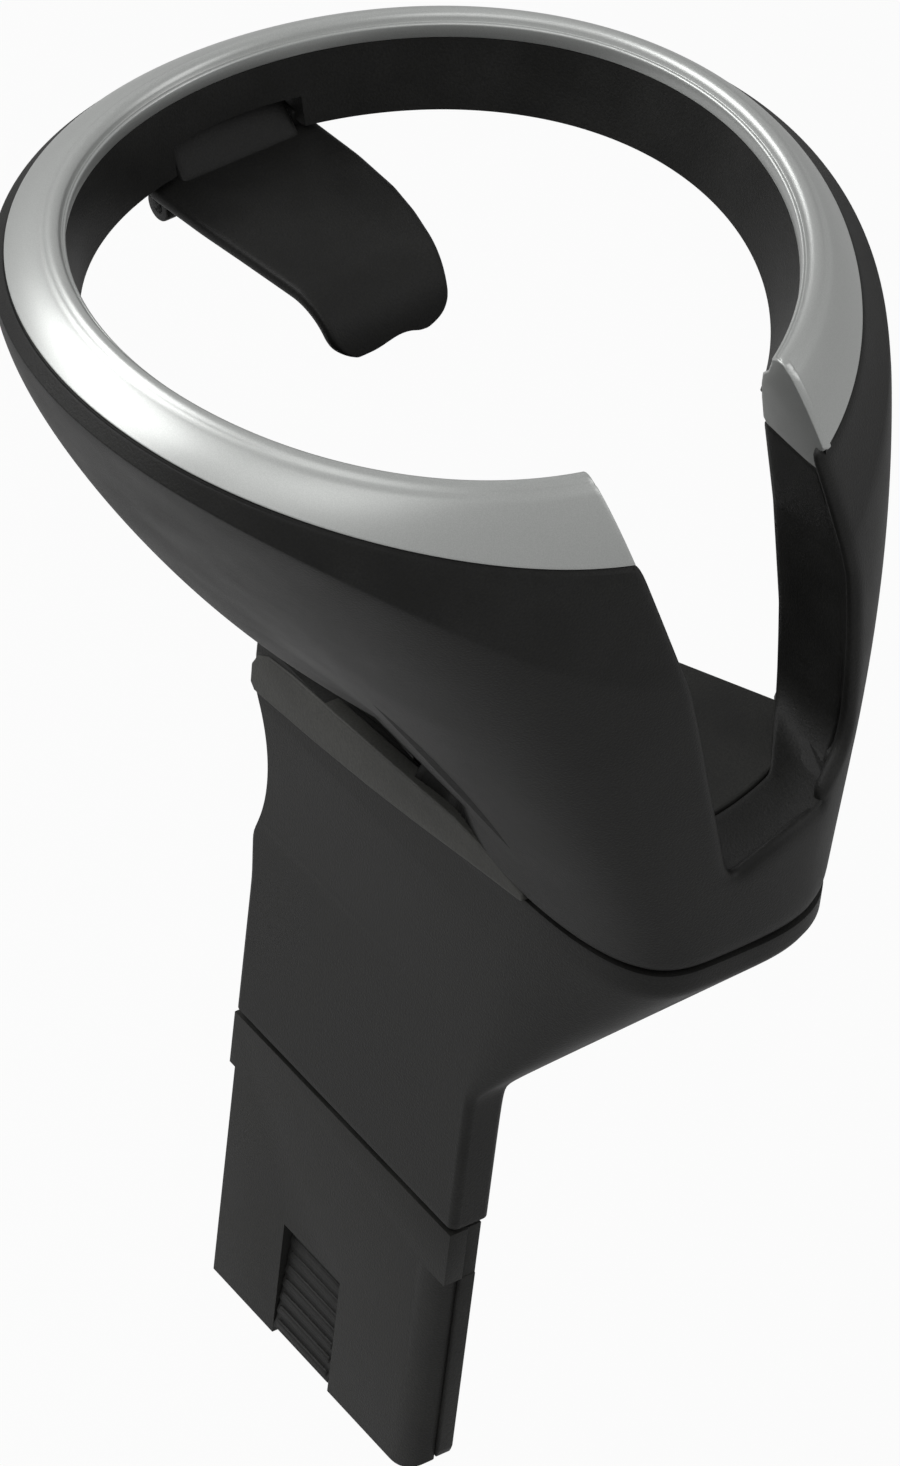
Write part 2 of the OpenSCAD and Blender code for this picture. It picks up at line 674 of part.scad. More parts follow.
// Serrated wedge that springs into the socket's catch
module latch_wedge() {
    foot = 1.2;
    tall = latch_h - foot;
    step = (tall - 1.5) / rib_count;
    color("#2c2c2a") translate([latch_x - latch_w / 2 + fit, stem_face + latch_deep, foot - blade_l])
        rotate([90, 0, 90]) linear_extrude(height = latch_w - 2 * fit)
            polygon(concat([[-fit / 2, 0], [-latch_deep, 0]],
                [for (k = [0 : rib_count - 1]) for (e = [0, 1])
                    [-mix(latch_deep, 0.35, k / rib_count) - (e == 0 ? 0 : -0.35), 0.4 + k * step + e * step * 0.7]],
                [[-0.3, tall - 0.6], [-fit / 2, tall - 0.4]]));
}
module blade_rear() {
    y0 = stem_face + plate_t;
    inset = 1.1;
    rise = 3.6;
    color("#40403c") difference() {
        union() {
            translate([-blade_w / 2 + 0.4, y0, -collar_h]) cube([blade_w - 0.6, rear_t, collar_h - groove]);
            translate([-blade_w / 2 + inset, y0, -blade_l + rise])
                cube([blade_w - inset - 0.1, rear_t, blade_l - rise - collar_h]);
        }
        blade_screw_set(0);
        dowel_set(fit);
        corner_cut();
    }
}
module blade_screw_set(grow) {
    for (x = [-blade_w / 3, blade_w / 3])
        translate([x, stem_face + 0.9, -blade_l * 0.62]) rotate([-90, 0, 0])
            screw(2 + grow, plate_t + rear_t - 2, 3.8 + grow, 1.1);
}
module blade_screws() {
    color("dimgray") blade_screw_set(0);
}
module dowel_set(grow) {
    for (x = [-blade_w / 3, blade_w / 3])
        translate([x, stem_face + plate_t - 1.4, -collar_h - 4]) rotate([-90, 0, 0])
            cylinder(h = 2.4, d = 2 + grow, $fn = 32);
}
module blade_dowels() {
    color("#3b3b38") dowel_set(0);
}

trim_ring();
scoop_body();
inner_band();
cup_liner();
pillar_lining();
floor_pad();
spring_arm();
hinge_pin();
arm_spring();
cradle_strip();
cradle_stem();
stem_cover();
cover_screws();
floor_screws();
band_pegs();
blade_front();
blade_rear();
blade_screws();
latch_wedge();
blade_dowels();
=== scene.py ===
import json
import math
import bpy
from mathutils import Matrix, Vector

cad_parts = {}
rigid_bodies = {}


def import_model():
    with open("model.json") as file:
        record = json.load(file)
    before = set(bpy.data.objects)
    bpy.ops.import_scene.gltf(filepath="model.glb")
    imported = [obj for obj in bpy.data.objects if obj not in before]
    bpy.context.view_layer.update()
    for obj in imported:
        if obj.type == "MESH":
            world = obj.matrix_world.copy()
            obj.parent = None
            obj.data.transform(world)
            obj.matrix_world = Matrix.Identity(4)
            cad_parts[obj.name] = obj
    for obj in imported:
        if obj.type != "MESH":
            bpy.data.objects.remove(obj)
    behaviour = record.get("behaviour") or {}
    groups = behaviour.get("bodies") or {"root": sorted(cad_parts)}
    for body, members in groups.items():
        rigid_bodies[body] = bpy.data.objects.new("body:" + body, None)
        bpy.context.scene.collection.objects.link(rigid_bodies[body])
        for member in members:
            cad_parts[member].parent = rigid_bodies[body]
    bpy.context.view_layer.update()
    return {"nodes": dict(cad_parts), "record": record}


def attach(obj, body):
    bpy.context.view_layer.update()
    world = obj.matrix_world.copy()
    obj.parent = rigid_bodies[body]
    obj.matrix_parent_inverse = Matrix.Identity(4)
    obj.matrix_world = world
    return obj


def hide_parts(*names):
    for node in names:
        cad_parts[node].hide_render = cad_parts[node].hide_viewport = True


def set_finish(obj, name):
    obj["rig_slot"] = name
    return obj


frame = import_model()
MM = 0.001

# Sizes in millimetres and angles in degrees, in the frame of the CAD model.
RING_R, TRIM_W, TRIM_SKIN, LIP_H = 40.0, 6.3, 1.5, 2.9
TRIM_DROP, TRIM_DIP, RIM_H = 3.6, 7.5, 130.0
RING_X, RING_Y = -1.05, -3.25
RIM_LEAN, LEAN_AZ, RIM_SADDLE, LOW_AZ = 1.9, 62, 1.5, 7
BAND_H, BAND_T, BAND_TAPER, BAND_WAIST = 11.6, 1.8, 2.2, 7.2
CUP_TILT, CUP_AZ, CUP_DEPTH, PAD_T = 19.5, 60.0, 67.99, 1.6
CUP_R, CUP_SLOPE = 39.0, 0.1515
PILLAR_AZ, PILLAR_OUT, PILLAR_SLOPE, PILLAR_TOP = 50, 37.4, 0.1655, 118.4
SEAM_H, FOOT_FRONT, FOOT_BACK, FOOT_SIDE = 55.6, 47.5, 24.3, 37.0
FOOT_FACE, FOOT_POW, FOOT_MID = 13.7, 3.5, (12.0, 14.0)
BELLY, SLOT_AZ, SLOT_SKEW, PILLAR_BACK = 2.6, 9.0, 18.0, 58.0
SLOT_TOP, SLOT_FLOOR, SLOT_Y = 31.0, 21.5, 2.75
STEM_W, STEM_T, STEM_NECK, BACK_TURN = 44.6, 5.5, 21.0, 26
HOLLOW_R, HOLLOW_D, HOLLOW_Z = 20.0, 3.2, 36.0
ARM_L, ARM_T, ARM_DROP, ARM_ROLL = 31.0, 1.8, 2.2, 4.0
TAB_W, TAB_H, TAB_Y, PIN_D = 16.0, 3.5, 0.5, 2.0
EAR_W, EAR_Y = 1.8, 8.95
BLADE_L, LATCH_X, LATCH_W, LATCH_H = 42.5, -2.6, 11.6, 16.8
LATCH_FOOT, LATCH_DEEP, RIBS = 1.2, 1.6, 7
FACE_Y = RING_Y + FOOT_MID[1] - FOOT_FACE


def rad(d):
    return math.radians(d)


def mix(p, q, s):
    return p * (1 - s) + q * s


def swell(a, c, w):
    """Smooth hump of width w round angle c, 1 at its top."""
    gap = abs((a - c + 540) % 360 - 180)
    return math.exp(-(gap / w) ** 2)


def rim_z(a):
    """Height of the rim, which leans a little and is low at two sides."""
    return RIM_H + RIM_LEAN * math.cos(rad(a - LEAN_AZ)) - RIM_SADDLE * math.cos(rad(2 * (a - LOW_AZ)))


def drop(a):
    """How far the trim reaches down, more beside the slot."""
    return TRIM_DROP + TRIM_DIP * swell(a, SLOT_SKEW, 50)


def trim_out(a):
    """Radius of the trim's outer edge."""
    return RING_R + TRIM_W + swell(a, 40, 50)


def on_ring(r, a, z):
    """Point at radius r and angle a round the middle of the ring."""
    return Vector((RING_X + r * math.cos(rad(a)), RING_Y + r * math.sin(rad(a)), z))


def between(pts, x):
    """Height on a line of straight pieces."""
    if x <= pts[0][0]:
        return pts[0][1]
    for (x0, y0), (x1, y1) in zip(pts, pts[1:]):
        if x <= x1:
            return mix(y0, y1, (x - x0) / (x1 - x0))
    return pts[-1][1]


def root(f, lo, hi):
    """Where f changes sign between lo and hi."""
    flo = f(lo)
    for _ in range(40):
        mid = (lo + hi) / 2
        if (f(mid) < 0) == (flo < 0):
            lo = mid
        else:
            hi = mid
    return (lo + hi) / 2


# Camera, at the photograph's angle: azimuth, height and roll, focal length and scale in pixels.
AZ, EL, ROLL, FOCAL, SCALE = rad(50), rad(40.5), rad(7), 9200.0, 9.27
PICTURE_W, PICTURE_H = 900, 1466
RING_PX = (435.06, 235.75)
side = Vector((math.cos(AZ), math.sin(AZ), 0))
ahead = Vector((-math.sin(AZ), math.cos(AZ), 0))
look = ahead * math.cos(EL) - Vector((0, 0, 1)) * math.sin(EL)
rise = ahead * math.sin(EL) + Vector((0, 0, 1)) * math.cos(EL)
right = side * math.cos(ROLL) + rise * math.sin(ROLL)
up = rise * math.cos(ROLL) - side * math.sin(ROLL)
reach = FOCAL / SCALE
ring_mid = Vector((RING_X, RING_Y, RIM_H))
off_right = (RING_PX[0] - PICTURE_W / 2) * reach / FOCAL
off_down = (RING_PX[1] - PICTURE_H / 2) * reach / FOCAL
eye = ring_mid - (look * reach + right * off_right - up * off_down)
cam_data = bpy.data.cameras.new("camera")
cam_data.sensor_fit = "VERTICAL"
cam_data.sensor_height = 36.0
cam_data.lens = cam_data.sensor_height * FOCAL / PICTURE_H
cam_data.clip_start = 0.05
cam_data.clip_end = 20.0
camera = bpy.data.objects.new("camera", cam_data)
bpy.context.scene.collection.objects.link(camera)
turn = Matrix((right, up, -look)).transposed().to_4x4()
camera.matrix_world = Matrix.Translation(eye * MM) @ turn
bpy.context.scene.camera = camera


# Modelling helpers.
def only(obj):
    """Selects this object alone."""
    if bpy.context.object and bpy.context.object.mode != "OBJECT":
        bpy.ops.object.mode_set(mode="OBJECT")
    bpy.ops.object.select_all(action="DESELECT")
    obj.select_set(True)
    bpy.context.view_layer.objects.active = obj


def modify(obj, kind, **settings):
    """Adds one modifier and applies it."""
    only(obj)
    m = obj.modifiers.new(kind.lower(), kind)
    for key, value in settings.items():
        setattr(m, key, value)
    bpy.ops.object.modifier_apply(modifier=m.name)


def in_edit(obj, *steps):
    """Runs edit-mode steps on the whole mesh of an object."""
    only(obj)
    bpy.ops.object.mode_set(mode="EDIT")
    bpy.ops.mesh.select_all(action="SELECT")
    for step in steps:
        step()
    bpy.ops.object.mode_set(mode="OBJECT")


def merged():
    bpy.ops.mesh.remove_doubles(threshold=2e-6)


def outward():
    bpy.ops.mesh.normals_make_consistent(inside=False)


def capped():
    """Closes the open ends."""
    bpy.ops.mesh.select_all(action="DESELECT")
    bpy.ops.mesh.select_non_manifold()
    bpy.ops.mesh.fill_holes(sides=0)
    bpy.ops.mesh.select_all(action="SELECT")


def rounded_shading(obj, angle):
    """Smooth shading, with sharp edges above the angle."""
    only(obj)
    bpy.ops.object.shade_smooth_by_angle(angle=rad(angle))


def formed(name, nu, nv, place, keep=None):
    """A grid of nu by nv cells laid over a form: place(u, v) gives each corner in millimetres."""
    bpy.ops.object.select_all(action="DESELECT")
    bpy.ops.mesh.primitive_grid_add(x_subdivisions=nu, y_subdivisions=nv, size=1)
    obj = bpy.context.object
    obj.name = name
    cells = [(round((v.co.x + 0.5) * nu), round((v.co.y + 0.5) * nv)) for v in obj.data.vertices]
    if keep:
        gone = []
        for f in obj.data.polygons:
            i = min(cells[k][0] for k in f.vertices)
            j = min(cells[k][1] for k in f.vertices)
            if not keep(i, j):
                gone.append(f.index)
    for v, (i, j) in zip(obj.data.vertices, cells):
        v.co = place(i / nu, j / nv) * MM
    if keep and gone:
        only(obj)
        for f in obj.data.polygons:
            f.select = False
        bpy.ops.object.mode_set(mode="EDIT")
        bpy.ops.mesh.select_all(action="DESELECT")
        bpy.ops.mesh.select_mode(type="FACE")
        bpy.ops.object.mode_set(mode="OBJECT")
        for k in gone:
            obj.data.polygons[k].select = True
        bpy.ops.object.mode_set(mode="EDIT")
        bpy.ops.mesh.delete(type="FACE")
        bpy.ops.mesh.select_mode(type="VERT")
        bpy.ops.object.mode_set(mode="OBJECT")
    return obj


def placed(obj, name, slot, body, *nodes):
    """Names a finished piece and says what it rides on and stands for."""
    only(obj)
    bpy.ops.object.transform_apply(location=True, rotation=True, scale=True)
    obj.name = name
    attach(obj, body)
    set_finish(obj, slot)
    if nodes:
        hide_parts(*nodes)
    return obj


def cad_copy(node, *steps):
    """A copy of a CAD piece with its loose triangles merged, and any further steps on its mesh."""
    obj = frame["nodes"][node].copy()
    obj.data = obj.data.copy()
    bpy.context.scene.collection.objects.link(obj)
    obj.hide_viewport = obj.hide_render = False
    in_edit(obj, merged, *steps)
    return obj


def softened(node, width, name, slot, segments=3):
    """A copy of a moulded CAD piece with its edges rounded."""
    obj = cad_copy(node, lambda: bpy.ops.mesh.dissolve_limited(angle_limit=rad(1.0)))
    modify(obj, "BEVEL", width=width * MM, segments=segments, limit_method="ANGLE",
           angle_limit=rad(30), use_clamp_overlap=True, harden_normals=False)
    rounded_shading(obj, 30)
    return placed(obj, name, slot, "holder", node)


# The slot's edges, as lines of Y against depth under the rim.
SLOT_LEFT = SLOT_Y - SLOT_TOP / 2
SLOT_RIGHT = SLOT_Y + SLOT_TOP / 2
slot_lean = math.tan(rad(CUP_TILT)) * math.sin(rad(CUP_AZ))
slot_mid = SLOT_Y + 63 * slot_lean - 2.4
yl, yr = slot_mid - SLOT_FLOOR / 2, slot_mid + SLOT_FLOOR / 2
cup_dir = Vector((math.sin(rad(CUP_TILT)) * math.cos(rad(CUP_AZ)),
                  math.sin(rad(CUP_TILT)) * math.sin(rad(CUP_AZ)), -math.cos(rad(CUP_TILT))))
floor_at = ring_mid + cup_dir * (CUP_DEPTH + PAD_T)


def floor_z(x, y):
    """Height of the tilted cup floor."""
    return floor_at.z - ((x - floor_at.x) * cup_dir.x + (y - floor_at.y) * cup_dir.y) / cup_dir.z


def slot_low(y):
    return floor_z(RING_X + FOOT_FRONT - 3, y)


LEFT_EDGE = [(-8, SLOT_LEFT - 2.2), (10, SLOT_LEFT + 3.8), (30, SLOT_LEFT + 11.8),
             (45, mix(SLOT_LEFT + 11.8, yl, 0.45)), (62, yl)]
RIGHT_EDGE = [(-8, SLOT_RIGHT - 4.6), (15, SLOT_RIGHT + 4.2), (30, SLOT_RIGHT + 9), (60, yr)]


def left_y(z):
    return between(LEFT_EDGE, RIM_H - z)


def right_y(z):
    return between(RIGHT_EDGE, RIM_H - z)


# Trim ring: one section, swept from slot edge to slot edge.
def trim_outline(a):
    """Radius and height against the rim: upright lip, fine groove, bead, cove, flank, underside."""
    r, o, d = RING_R, trim_out(a), drop(a)
    pts = [(r - 0.3, -LIP_H), (r - 0.3, -1.9), (r - 0.28, -1.25), (r - 0.18, -1.02), (r, -1.0),
           (r + 0.14, -1.12), (r + 0.24, -1.0), (r + 0.36, -0.62), (r + 0.62, -0.22), (r + 1.0, -0.02),
           (r + 1.4, 0.0), (r + 1.8, -0.17), (r + 2.12, -0.5), (r + 2.38, -0.78), (r + 2.75, -0.93)]
    for s in (0.12, 0.25, 0.38, 0.5, 0.62, 0.73, 0.83, 0.91, 0.97):
        pts.append((mix(r + 2.75, o, s), mix(-0.93, -d, s * (0.66 + 0.34 * s))))
    inner = o - TRIM_SKIN
    pts += [(o, -d), (o - 0.35, -d - 0.25), (inner, -d), (mix(inner, r + 1.6, 0.5), mix(-d, -LIP_H, 0.5)),
            (r + 1.6, -LIP_H), (r + 0.7, -LIP_H - 0.1)]
    return pts


TRIM_PTS = len(trim_outline(0))
CREST, FLANK_END = 10, 24


def trim_profile(a, k):
    """Point k of the trim's section at angle a; the section is closed."""
    dr, dz = trim_outline(a)[k]
    return on_ring(dr, a, rim_z(a) + dz)


def slot_ends(section, k):
    """Angles at which point k of a swept section meets the slot's right and left sides."""
    right_end = root(lambda a: section(a, k).y - right_y(section(a, k).z), 5, 75)
    left_end = root(lambda a: section(a, k).y - left_y(section(a, k).z), -50, 5)
    return right_end, left_end + 360


def swept(name, steps, section, count):
    """A closed section of count points, swept round the ring from slot side to slot side."""
    ends = [slot_ends(section, k) for k in range(count)]

    def place(u, v):
        k = round(v * count) % count
        return section(mix(ends[k][0], ends[k][1], u), k)
    obj = formed(name, steps, count, place)
    in_edit(obj, merged, capped, outward)
    return obj


def trim_ring_piece():
    """The silver trim, open at the slot."""
    obj = swept("trim", 360, trim_profile, TRIM_PTS)
    modify(obj, "BEVEL", width=0.3 * MM, segments=2, limit_method="ANGLE", angle_limit=rad(60))
    rounded_shading(obj, 50)
    return placed(obj, "trim_ring_satin", "silver_paint", "holder", "trim_ring")


# Scoop skin: a grid from the trim over the crease down to the foot.
def foot_r(a):
    c, s = math.cos(rad(a)), math.sin(rad(a))
    p = FOOT_POW
    total = ((max(0, -s) / FOOT_FACE) ** p + (max(0, s) / (FOOT_SIDE - FOOT_MID[1])) ** p
             + (max(0, c) / (FOOT_FRONT - FOOT_MID[0])) ** p
             + (max(0, -c) / (FOOT_BACK + 12 + FOOT_MID[0])) ** p)
    return total ** (-1 / p)


def foot_pt(a):
    r = foot_r(a)
    return RING_X + FOOT_MID[0] + r * math.cos(rad(a)), RING_Y + FOOT_MID[1] + r * math.sin(rad(a))


def crease_drop(a):
    return drop(a) + 1.6 + 16 * swell(a, SLOT_AZ, 45)


def crease_r(a):
    return trim_out(a) + 1.2 + BELLY * swell(a, 55, 45)


def band_z(a):
    """Height at which the skin starts, just under the trim."""
    return rim_z(a) - drop(a) - 0.25


def crease_z(a):
    return rim_z(a) - crease_drop(a)


def fall(a):
    """Power by which the flank falls in towards the foot."""
    return 1 + 0.5 * swell(a, -125, 28) + 0.4 * swell(a, 20, 50)


def press(a, u):
    """How far the left flank is drawn in just over the strip."""
    u = min(1.0, max(0.0, u))
    over = TUCK * swell(a, -122, 38) * math.sin(math.pi / 2 * min(1.0, (u / 0.95) ** 7))
    return PRESS * swell(a, -75, 34) * math.sin(math.pi * u ** 4) + over


def body_pt(a, u, proud=0.0):
    """Point of the scoop's surface at angle a; u is 0 at the crease and 1 at the foot."""
    top = on_ring(crease_r(a) + proud, a, crease_z(a))
    fx, fy = foot_pt(a - 8.5 * swell(a, 50, 30))
    s = u ** fall(a)
    out = BELLY * 0.9 * swell(a, 48, 34) * math.sin(math.pi * u ** 0.8) - press(a, u) + proud * s
    x = mix(top.x, fx, s) + out * math.cos(rad(a))
    y = mix(top.y, fy, s) + out * math.sin(rad(a))
    return Vector((x, y, mix(top.z, SEAM_H + 0.1, u)))


# How far the flank is drawn in, the corner radii of the slot, and how far the skin stands over the
# CAD solid and past the slot's wall.
PRESS, TUCK = 4.2, 6.5
CORNER_RIGHT, CORNER_LEFT = 6.0, 3.0
PROUD, LIP = 0.12, 0.7
# Rows of the skin: shares of the band under the trim, then rows down to the sill, the last ones at
# these distances over it, then rows down to the seam.
TOP_W = (-1, -0.8, -0.5, -0.2, -0.05, 0)
NEAR_SILL = (6.5, 4.6, 3.0, 1.7, 0.7, 0.0)
TOP_ROWS, MID_ROWS, LOW_ROWS = 5, 20, 4
ROWS = TOP_ROWS + MID_ROWS + LOW_ROWS
PILLAR_COLS, BACK_COLS, FRONT_COLS, SLOT_COLS = 10, 44, 46, 12
COLS = PILLAR_COLS + BACK_COLS + FRONT_COLS + SLOT_COLS


def skin_pt(a, w):
    """Skin at angle a: w below 0 is the steep band under the trim, 0 the crease, 1 the seam."""
    if w >= 0:
        return body_pt(a, w, PROUD)
    s = 1 + w
    return on_ring(mix(trim_out(a) - 0.05, crease_r(a) + PROUD, s), a, mix(band_z(a), crease_z(a), s))


def row_w(a, row):
    """Depth parameter of a row of the skin; the rows follow the slot's sill."""
    if row <= TOP_ROWS:
        return TOP_W[row]
    p = body_pt(a, 1.0)
    near = swell(a, 18, 32)
    sill = slot_low(min(max(p.y, yl), yr)) + 0.3
    tall = crease_z(a) - SEAM_H
    u_sill = mix(0.88, (crease_z(a) - sill) / tall, near)
    if row <= TOP_ROWS + MID_ROWS:
        k = row - TOP_ROWS
        if k == 1:
            return 0.025 * u_sill
        steps = MID_ROWS - len(NEAR_SILL)
        u_near = u_sill - NEAR_SILL[0] / tall
        if k <= steps:
            return u_near * (k - 1) / steps
        return u_sill - NEAR_SILL[k - steps - 1] / tall
    return mix(u_sill, 1.0, (row - TOP_ROWS - MID_ROWS) / LOW_ROWS)


def skin_edges(row):
    """Angles where a row meets the slot's two sides and the two back edges."""
    def at(a):
        return skin_pt(a, row_w(a, row))

    def corner(p, y, r):
        """How far the rounded corner draws the edge in at this height."""
        h = p.z - slot_low(y) - 0.3
        if h <= 0:
            return r
        return r - math.sqrt(r * r - (r - h) ** 2) if h < r else 0.0
    a_right = root(lambda a: at(a).y - right_y(at(a).z) + LIP + corner(at(a), yr, CORNER_RIGHT), 4, 60)
    a_left = root(lambda a: at(a).y - left_y(at(a).z) - LIP - corner(at(a), yl, CORNER_LEFT), -50, 16)
    a_pillar = root(lambda a: (at(a).x - RING_X) * math.sin(rad(PILLAR_BACK))
                    - (at(a).y - RING_Y) * math.cos(rad(PILLAR_BACK)), 30, 100)
    a_back = root(lambda a: at(a).x - (RING_X - FOOT_BACK), -178, -90)
    return a_right, a_pillar, a_back + 360, a_left + 360


def scoop_skin():
    """The scoop's outer skin, open at the slot and at the back."""
    edges = [skin_edges(j) for j in range(ROWS + 1)]
    stops = (0, PILLAR_COLS, PILLAR_COLS + BACK_COLS, PILLAR_COLS + BACK_COLS + FRONT_COLS, COLS)

    def place(u, v):
        i, j = round(u * COLS), round(v * ROWS)
        e = edges[j] + (edges[j][0] + 360,)
        for k in range(4):
            if i <= stops[k + 1]:
                a = mix(e[k], e[k + 1], (i - stops[k]) / (stops[k + 1] - stops[k]))
                break
        return skin_pt(a, row_w(a, j))

    def keep(i, j):
        """Cells that stay: the slot is open over its sill, the back under the band."""
        if i >= stops[3]:
            return j >= TOP_ROWS + MID_ROWS
        if stops[1] <= i < stops[2]:
            return j < TOP_ROWS + 1
        return True
    obj = formed("skin", COLS, ROWS, place, keep)
    in_edit(obj, merged, outward)
    modify(obj, "SOLIDIFY", thickness=2.0 * MM, offset=-1.0, use_even_offset=True)
    modify(obj, "SUBSURF", levels=2, render_levels=2)
    rounded_shading(obj, 60)
    return placed(obj, "scoop_skin", "black_soft", "holder", "scoop_body")


def skin_at(a, z):
    """Skin at angle a and height z."""
    z0, z1 = band_z(a), crease_z(a)
    if z > z1:
        return skin_pt(a, -(min(z, z0) - z1) / (z0 - z1))
    return body_pt(a, min(1.0, (z1 - z) / (z1 - SEAM_H - 0.1)), PROUD)


def under_sill(obj):
    """Draws a copied CAD piece down under the slot's sill, which the lining covers."""
    for v in obj.data.vertices:
        x, y, z = v.co / MM
        if x > 18 and left_y(z) + 0.5 < y < right_y(z) - 2.5 and z < slot_low(y) + 4:
            v.co.z = min(z, slot_low(y) - 0.2) * MM


def scoop_core():
    """The CAD scoop, drawn in behind the skin; its bosses and inner walls show from behind."""
    obj = cad_copy("scoop_body")
    modify(obj, "DISPLACE", strength=-0.3 * MM, mid_level=0.0)
    normals = [v.normal.copy() for v in obj.data.vertices]
    under_sill(obj)
    for v, n in zip(obj.data.vertices, normals):
        x, y, z = v.co / MM
        if z < SEAM_H - 1 or z > 116:
            continue
        s = min(1.0, max(0.0, (108 - z) / (108 - SEAM_H)))
        mid = (RING_X + s * FOOT_MID[0], RING_Y + s * FOOT_MID[1])
        rx, ry = x - mid[0], y - mid[1]
        r = math.hypot(rx, ry)
        if r < 15:
            continue
        rx, ry = rx / r, ry / r

        def across(a):
            p = skin_at(a, z)
            return (p.x - mid[0]) * ry - (p.y - mid[1]) * rx
        a = math.degrees(math.atan2(ry, rx))
        p = skin_at(root(across, a - 60, a + 60), z)
        behind = 1.3 + 2.4 * swell(a, -105, 50) * min(1.0, s * s * 1.5)
        room = math.hypot(p.x - mid[0], p.y - mid[1]) - behind - (0 if n.x * rx + n.y * ry > 0 else 1)
        if r > room:
            v.co += Vector((rx, ry, 0)) * (room - r) * MM
    rounded_shading(obj, 30)
    return placed(obj, "scoop_core", "black_soft", "holder", "scoop_body")


# Lining of the handle slot: down its right wall, over the sill and up the left wall.
def skin_x(y, z):
    """How far out the skin lies on the line through (y, z) in the slot's region."""
    return skin_at(root(lambda a: skin_at(a, z).y - y, -60, 80), z).x


def cup_x(y, z):
    """Where the cup's wall lies on the line through (y, z), on the slot's side."""
    def past(x):
        d = Vector((x - RING_X, y - RING_Y, z - RIM_H))
        h = d.dot(cup_dir)
        return (d - cup_dir * h).length - (CUP_R - CUP_SLOPE * h)
    wall = root(past, RING_X + (RIM_H - z) * 0.177, RING_X + 60)
    # the pillar's inner face is a plane that leans out downwards, drawn in a little near the floor
    out = PILLAR_OUT + PILLAR_SLOPE * (PILLAR_TOP - z)
    flat = RING_X + (out - (y - RING_Y) * math.sin(rad(PILLAR_AZ))) / math.cos(rad(PILLAR_AZ)) - 0.5
    flat -= max(0.0, min(1.5, (86 - z) * 0.1))
    return min(wall, flat)


def slot_outline(n):
    """Points down the right wall, along the sill and up the left wall, with rounded corners."""
    r, low = CORNER_RIGHT, slot_low(yr)
    corners = [(right_y(z), z) for z in (114.2, 100, 85, low + r + 0.5)]
    y_wall, z_sill = right_y(low + r), slot_low(right_y(low) - r)
    for k in range(1, 7):
        t = math.pi / 2 * k / 7
        corners.append((y_wall - r * (1 - math.cos(t)), z_sill + r * (1 - math.sin(t))))
    corners += [(y, slot_low(y)) for y in (yr - r, yl + 4)]
    r, low = CORNER_LEFT, slot_low(yl)
    for k in range(1, 5):
        t = math.pi / 2 * k / 5
        corners.append((left_y(low + r) + r * (1 - math.sin(t)), low + r * (1 - math.cos(t))))
    corners += [(left_y(z), z) for z in (low + r + 0.5, 80, 95, 108)]
    lengths = [0.0]
    for p, q in zip(corners, corners[1:]):
        lengths.append(lengths[-1] + math.hypot(q[0] - p[0], q[1] - p[1]))
    ys = [(d, c[0]) for d, c in zip(lengths, corners)]
    zs = [(d, c[1]) for d, c in zip(lengths, corners)]
    stops = [lengths[-1] * i / n for i in range(n + 1)]
    return [(between(ys, d), between(zs, d)) for d in stops]


def slot_lining():
    """The sheet that lines the slot, with a groove beside the lip on its right wall."""
    n, m = 120, 12
    path = slot_outline(n)
    # distance from the lip of the first columns, and how deep the groove is in each
    depth = (0.0, 0.45, 0.8, 1.1, 2.3, 2.6, 3.0, 3.5)
    groove = (0.0, 0.0, 0.1, 1.6, 1.6, 0.1, 0.0, 0.0)

    def place(u, v):
        i, j = round(u * n), round(v * m)
        y, z = path[i]
        y0, z0 = path[max(0, i - 1)]
        y1, z1 = path[min(n, i + 1)]
        length = math.hypot(y1 - y0, z1 - z0)
        # this direction points into the open slot
        ny, nz = (z1 - z0) / length, -(y1 - y0) / length
        outer, inner = skin_x(y, z) - 0.55, cup_x(y, z)
        wall = max(0.0, min(1.0, (abs(ny) - 0.5) / 0.4))
        if j < len(depth):
            x = outer - depth[j]
        else:
            x = mix(outer - depth[-1], inner, (j - len(depth) + 1) / (m - len(depth) + 1))
        x = max(x, inner)
        raised = 0.25
        if ny < 0 and j < len(groove):
            raised -= wall * groove[j]
        share = (outer - x) / max(0.1, outer - inner)
        lift = (1 - wall) * (0.45 * share - 0.5 * math.sin(math.pi * share))
        return Vector((x, y + ny * raised, z + nz * raised + lift))
    obj = formed("lining", n, m, place)
    in_edit(obj, merged, outward)
    on_right = [f for f in obj.data.polygons if f.normal.y ** 2 > 0.8 and f.center.y > 0.01]
    if max(on_right, key=lambda f: f.center.z).normal.y > 0:
        in_edit(obj, lambda: bpy.ops.mesh.flip_normals())
    modify(obj, "SOLIDIFY", thickness=0.6 * MM, offset=-1.0, use_even_offset=False)
    modify(obj, "SUBSURF", levels=1, render_levels=1)
    rounded_shading(obj, 60)
    return placed(obj, "handle_slot_lining", "black_abs", "holder", "pillar_lining")


